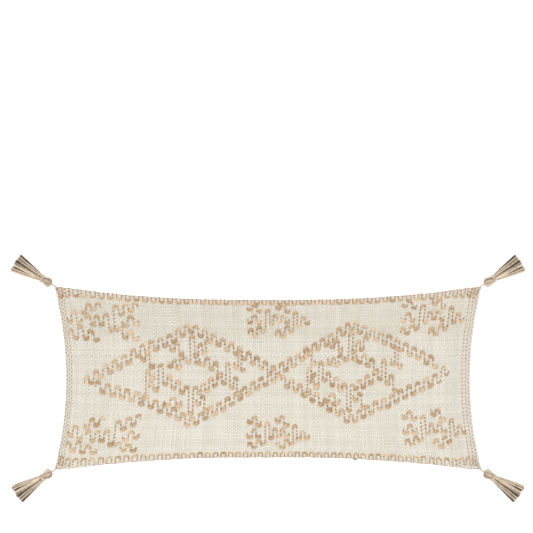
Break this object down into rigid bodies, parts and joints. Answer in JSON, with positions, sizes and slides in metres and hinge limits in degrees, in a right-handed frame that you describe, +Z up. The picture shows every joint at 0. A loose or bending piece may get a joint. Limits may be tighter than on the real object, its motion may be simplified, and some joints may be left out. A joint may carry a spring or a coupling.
{
  "type": "throw pillow",
  "caption": "Long lumbar throw pillow in chunky cream cotton with an inlaid tan diamond pattern, corner tassels and a hidden zip along one long seam.",
  "frame": {"origin": "on the surface that the pillow lies on, under the middle of its outline", "axes": "+X along the pillow's length, +Y across it towards the edge without the zip, +Z up through the patterned front"},
  "size_m": [1.0498, 0.5106, 0.1512],
  "materials": {
    "cotton_weave": "chunky plain-woven undyed cotton",
    "jute_yarn": "soft twisted jute, uneven in colour",
    "insert_ticking": "plain white casing cloth",
    "fibre_fill": "carded polyester fibre",
    "zip_tape": "woven polyester tape",
    "zip_coil": "nylon coil",
    "zip_metal": "satin lacquered zinc",
    "label_tape": "blank woven satin tape",
    "tassel_yarn": "twisted cotton and jute strands"
  },
  "bodies": {
    "root": {"cover_front": "cotton_weave", "cover_back": "cotton_weave", "jute_inlay": "jute_yarn", "insert_casing_front": "insert_ticking", "insert_casing_back": "insert_ticking", "insert_fill": "fibre_fill", "zipper_tape_upper": "zip_tape", "zipper_tape_lower": "zip_tape", "zipper_coil_upper": "zip_coil", "zipper_coil_lower": "zip_coil", "zipper_top_stops": "zip_metal", "zipper_bottom_stop": "zip_metal", "care_label": "label_tape"},
    "zip_slider": {"zipper_slider": "zip_metal"},
    "zip_pull": {"zipper_pull": "zip_metal"},
    "tassel_ne_hanger": {"tassel_ne_cord": "tassel_yarn"},
    "tassel_ne": {"tassel_ne_head": "tassel_yarn", "tassel_ne_binding": "tassel_yarn", "tassel_ne_skirt": "tassel_yarn"},
    "tassel_nw_hanger": {"tassel_nw_cord": "tassel_yarn"},
    "tassel_nw": {"tassel_nw_head": "tassel_yarn", "tassel_nw_binding": "tassel_yarn", "tassel_nw_skirt": "tassel_yarn"},
    "tassel_se_hanger": {"tassel_se_cord": "tassel_yarn"},
    "tassel_se": {"tassel_se_head": "tassel_yarn", "tassel_se_binding": "tassel_yarn", "tassel_se_skirt": "tassel_yarn"},
    "tassel_sw_hanger": {"tassel_sw_cord": "tassel_yarn"},
    "tassel_sw": {"tassel_sw_head": "tassel_yarn", "tassel_sw_binding": "tassel_yarn", "tassel_sw_skirt": "tassel_yarn"}
  },
  "joints": [
    {"name": "zipper_slide", "type": "slide", "parent": "root", "child": "zip_slider", "axis": [-1, 0, 0], "range_m": [0, 0.352]},
    {"name": "zipper_pull_flip", "type": "hinge", "parent": "zip_slider", "child": "zip_pull", "pos_m": [0.176, -0.1623, 0.066], "axis": [-1, 0, 0], "range_deg": [0, 165]},
    {"name": "tassel_ne_swing", "type": "hinge", "parent": "root", "child": "tassel_ne_hanger", "pos_m": [0.4366, 0.18852, 0.026], "axis": [0, 0, 1], "range_deg": [-75, 75]},
    {"name": "tassel_ne_lift", "type": "hinge", "parent": "tassel_ne_hanger", "child": "tassel_ne", "pos_m": [0.43909, 0.19011, 0.02546], "axis": [0.5373, -0.8434, 0], "range_deg": [0, 90]},
    {"name": "tassel_nw_swing", "type": "hinge", "parent": "root", "child": "tassel_nw_hanger", "pos_m": [-0.4366, 0.18852, 0.026], "axis": [0, 0, 1], "range_deg": [-75, 75]},
    {"name": "tassel_nw_lift", "type": "hinge", "parent": "tassel_nw_hanger", "child": "tassel_nw", "pos_m": [-0.43909, 0.19011, 0.02546], "axis": [0.5373, 0.8434, 0], "range_deg": [0, 90]},
    {"name": "tassel_se_swing", "type": "hinge", "parent": "root", "child": "tassel_se_hanger", "pos_m": [0.4366, -0.18852, 0.026], "axis": [0, 0, 1], "range_deg": [-75, 75]},
    {"name": "tassel_se_lift", "type": "hinge", "parent": "tassel_se_hanger", "child": "tassel_se", "pos_m": [0.43909, -0.19011, 0.02546], "axis": [-0.5373, -0.8434, 0], "range_deg": [0, 90]},
    {"name": "tassel_sw_swing", "type": "hinge", "parent": "root", "child": "tassel_sw_hanger", "pos_m": [-0.4366, -0.18852, 0.026], "axis": [0, 0, 1], "range_deg": [-75, 75]},
    {"name": "tassel_sw_lift", "type": "hinge", "parent": "tassel_sw_hanger", "child": "tassel_sw", "pos_m": [-0.43909, -0.19011, 0.02546], "axis": [-0.5373, 0.8434, 0], "range_deg": [0, 90]}
  ]
}
